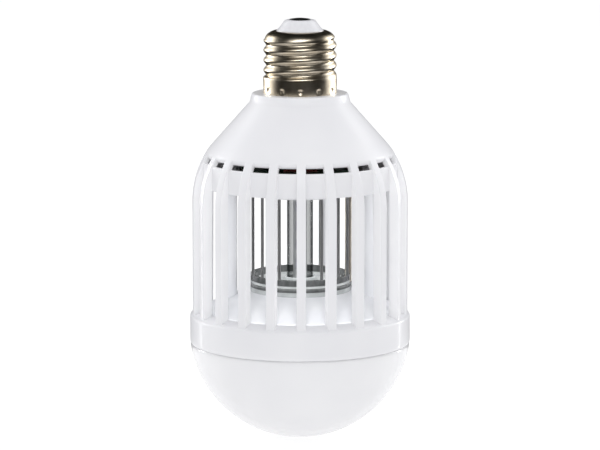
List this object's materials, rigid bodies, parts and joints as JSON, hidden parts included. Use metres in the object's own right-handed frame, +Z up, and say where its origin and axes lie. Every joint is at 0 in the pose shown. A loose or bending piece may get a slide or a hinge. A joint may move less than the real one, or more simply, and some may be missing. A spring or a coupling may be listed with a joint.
{
  "type": "insect killer light bulb",
  "caption": "Screw-cap lamp bulb with a ribbed cage round an electrode grid and ultraviolet lamp, and a milky diffuser for white light below.",
  "frame": {"origin": "on the lamp axis, at the rim of the screw cap where it meets the neck", "axes": "+Z up along the lamp axis towards the cap, -Y the front, with one rib in the middle of the front"},
  "size_m": [0.08, 0.08, 0.1529],
  "materials": {
    "nickel_sheet": "rolled sheet, bright nickel plate, warm tint",
    "cap_insulator": "white pressed insulator, faint gloss",
    "contact_metal": "dull tinned contact",
    "white_moulding": "white injection-moulded plastic, satin gloss",
    "inner_moulding": "white moulded plastic",
    "deck_moulding": "white moulded plastic, satin gloss",
    "electrode_steel": "drawn stainless rod and strip",
    "feed_metal": "nickelled brass rod, brownish grey",
    "clear_disc": "clear moulded plastic",
    "clear_tube": "clear extruded plastic",
    "lamp_board_white": "white board lacquer",
    "uv_lamp": "ultraviolet lamp package, faint violet",
    "driver_laminate": "green board laminate",
    "capacitor_can": "dark sleeved aluminium can",
    "ferrite": "dark grey ferrite",
    "coil_tape": "yellow winding tape",
    "dipped_film": "red-brown dipped film capacitor",
    "resistor_body": "lacquered resistor",
    "black_package": "black moulded package",
    "red_insulation": "red wire insulation",
    "white_insulation": "white wire insulation",
    "aluminium_board": "aluminium board with white lacquer",
    "white_lamp": "white lamp package, yellow phosphor",
    "screw_steel": "zinc-plated steel",
    "milky_diffuser": "milky moulded plastic, gloss"
  },
  "bodies": {
    "root": {"base_disc": "clear_disc", "cage_housing": "white_moulding", "cap_insulator": "cap_insulator", "centre_contact": "contact_metal", "deck_tray": "deck_moulding", "diffuser": "milky_diffuser", "driver_board": "driver_laminate", "electrode_rod_01": "electrode_steel", "electrode_rod_02": "electrode_steel", "electrode_rod_03": "electrode_steel", "electrode_rod_04": "electrode_steel", "electrode_rod_05": "electrode_steel", "electrode_rod_06": "electrode_steel", "electrode_rod_07": "electrode_steel", "electrode_rod_08": "electrode_steel", "electrode_rod_09": "electrode_steel", "electrode_rod_10": "electrode_steel", "electrode_rod_11": "electrode_steel", "electrode_rod_12": "electrode_steel", "electrode_rod_13": "electrode_steel", "electrode_rod_14": "electrode_steel", "feed_rod": "feed_metal", "film_capacitor_front": "dipped_film", "film_capacitor_rear": "dipped_film", "fuse_resistor": "resistor_body", "lamp_tube": "clear_tube", "led_board": "aluminium_board", "led_board_screws": "screw_steel", "led_lead_left": "white_insulation", "led_lead_right": "red_insulation", "live_lead": "red_insulation", "lower_electrode_ring": "electrode_steel", "neutral_lead": "white_insulation", "partition_plate": "inner_moulding", "plate_screws": "screw_steel", "rectifier": "black_package", "screw_shell": "nickel_sheet", "smoothing_capacitor": "capacitor_can", "transformer_coil": "coil_tape", "transformer_core": "ferrite", "upper_electrode_ring": "electrode_steel", "uv_board": "lamp_board_white", "uv_leds": "uv_lamp", "white_leds": "white_lamp"}
  },
  "joints": []
}
